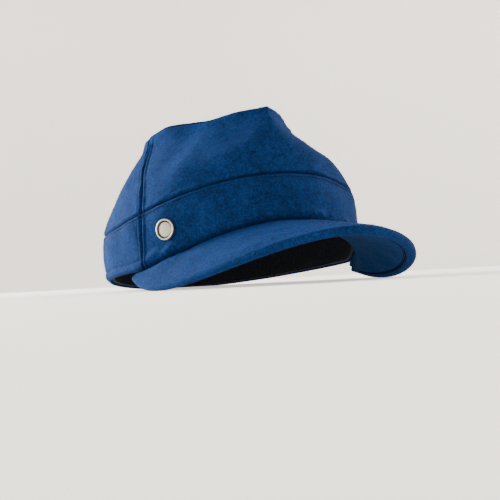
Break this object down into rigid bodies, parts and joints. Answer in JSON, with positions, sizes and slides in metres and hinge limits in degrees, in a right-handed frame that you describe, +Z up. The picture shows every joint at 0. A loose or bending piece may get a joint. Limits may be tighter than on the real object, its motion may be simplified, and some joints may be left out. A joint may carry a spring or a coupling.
{
  "type": "kepi cap",
  "caption": "Soft felted wool cap with a deep band, a front panel that rises to a point, a curved brim with a rolled edge, a dark sweatband and a round metal button.",
  "frame": {"origin": "middle of the cap's bounding box in plan, on the surface that the cap rests on", "axes": "+Z up, -Y towards the front edge of the brim, +X towards the wearer's left side"},
  "size_m": [0.171, 0.2684, 0.1115],
  "materials": {
    "felt": "matt felted wool, royal blue with a fine lighter fleck",
    "ribbon": "near-black ribbed ribbon",
    "nickel": "satin nickel"
  },
  "bodies": {
    "root": {"front_band": "felt", "back_band": "felt", "front_panel": "felt", "side_panel_right": "felt", "side_panel_left": "felt", "brim_top": "felt", "brim_underside": "felt", "sweatband": "ribbon", "button": "nickel"}
  },
  "joints": []
}
